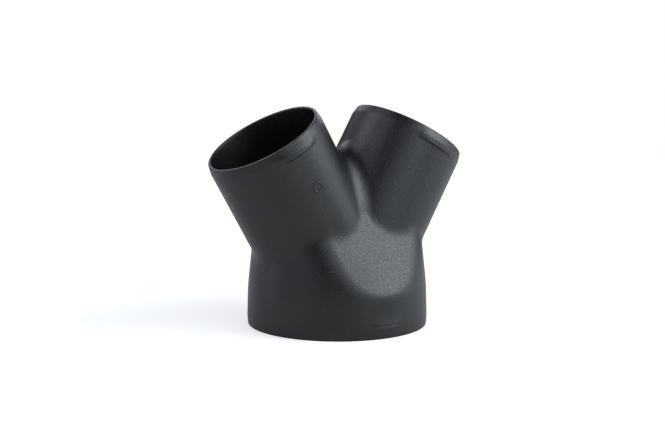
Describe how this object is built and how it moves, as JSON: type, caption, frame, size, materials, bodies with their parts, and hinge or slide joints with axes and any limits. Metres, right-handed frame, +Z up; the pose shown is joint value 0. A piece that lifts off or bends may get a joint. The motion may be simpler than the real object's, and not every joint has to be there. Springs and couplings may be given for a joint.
{
  "type": "y branch fitting",
  "caption": "Hollow moulded Y branch for air ducts, forking from a wide round base collar into slanted round collars across a faceted, softly blended hub.",
  "frame": {"origin": "centre of the base collar's lower rim, on the floor", "axes": "+Z up along the base collar, the slanted collars lean towards -X and +X, the flat facets look towards -Y and +Y"},
  "size_m": [0.1358, 0.0912, 0.1087],
  "materials": {
    "grained_black_plastic": "matte, fine moulded grain"
  },
  "bodies": {
    "root": {"y_branch_body": "grained_black_plastic"}
  },
  "joints": []
}
